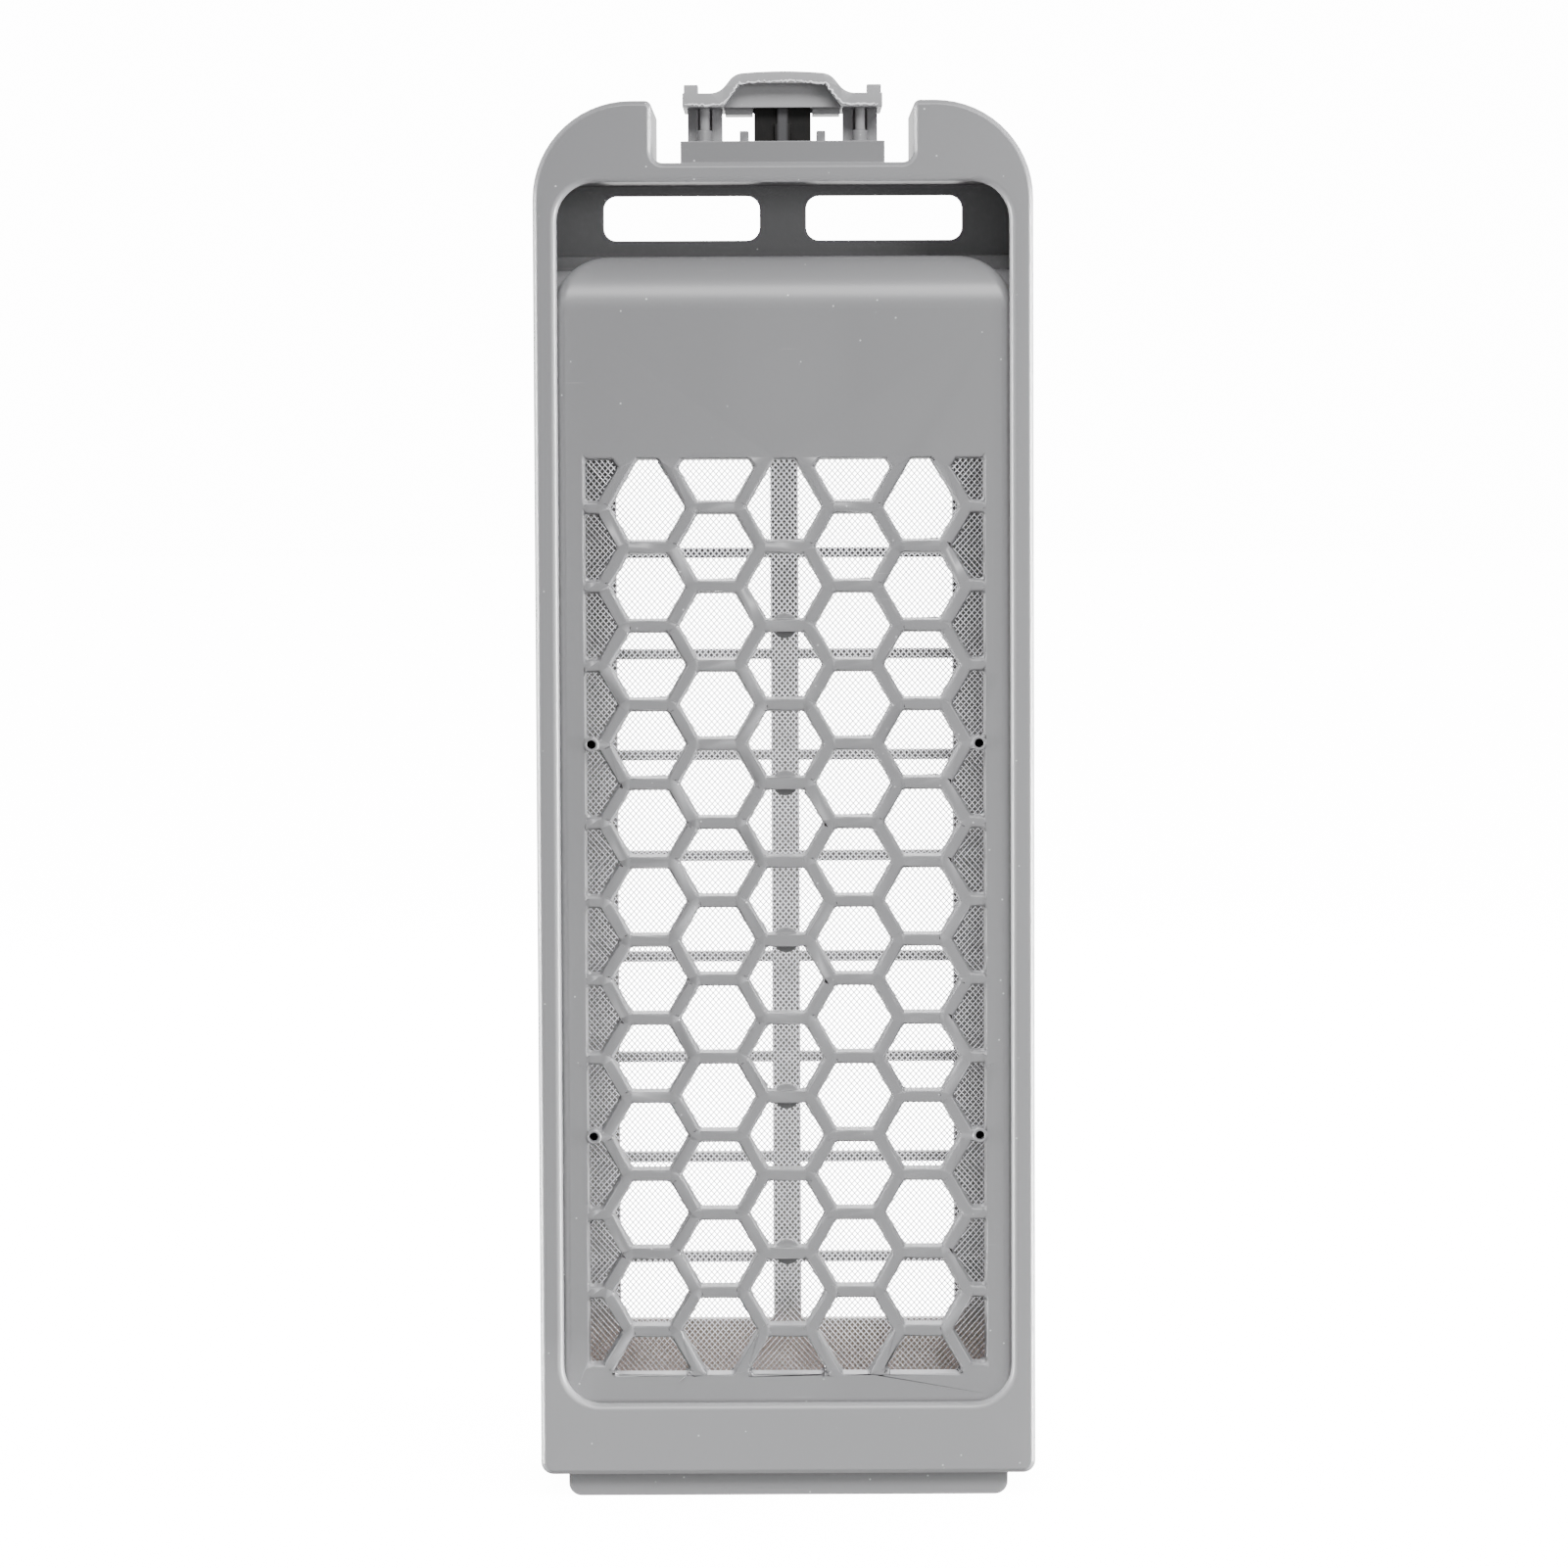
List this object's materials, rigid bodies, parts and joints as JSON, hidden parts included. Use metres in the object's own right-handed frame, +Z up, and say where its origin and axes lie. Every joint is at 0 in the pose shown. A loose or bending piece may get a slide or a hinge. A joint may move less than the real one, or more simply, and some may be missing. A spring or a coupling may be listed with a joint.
{
  "type": "washing machine lint filter box",
  "caption": "Upright grey plastic lint filter box with a honeycomb grille over fine mesh, a ribbed hinged rear cover, a finger recess, a press-down latch on top and a locating tongue below.",
  "frame": {"origin": "middle of the foot's underside, under the middle of the box", "axes": "+Z up along the box's height, the honeycomb face looks along -Y, +X to the right seen from that face"},
  "size_m": [0.072, 0.036, 0.2068],
  "materials": {
    "grey_plastic": "satin moulded",
    "nylon_mesh": "plain woven gauze",
    "black_rubber": "moulded matte"
  },
  "bodies": {
    "box": {"case": "grey_plastic", "honeycomb_grille": "grey_plastic", "lint_mesh": "nylon_mesh", "return_block": "black_rubber"},
    "cover": {"rear_cover": "grey_plastic"},
    "button": {"latch_button": "grey_plastic"}
  },
  "joints": [
    {"name": "cover_hinge", "type": "hinge", "parent": "box", "child": "cover", "pos_m": [0, 0.0154, 0.00855], "axis": [-1, 0, 0], "range_deg": [0, 90]},
    {"name": "button_press", "type": "slide", "parent": "box", "child": "button", "axis": [0, 0, 1], "range_m": [-0.00235, 0], "stiffness_N_per_m": 2500, "deforming": ["return_block"]}
  ]
}
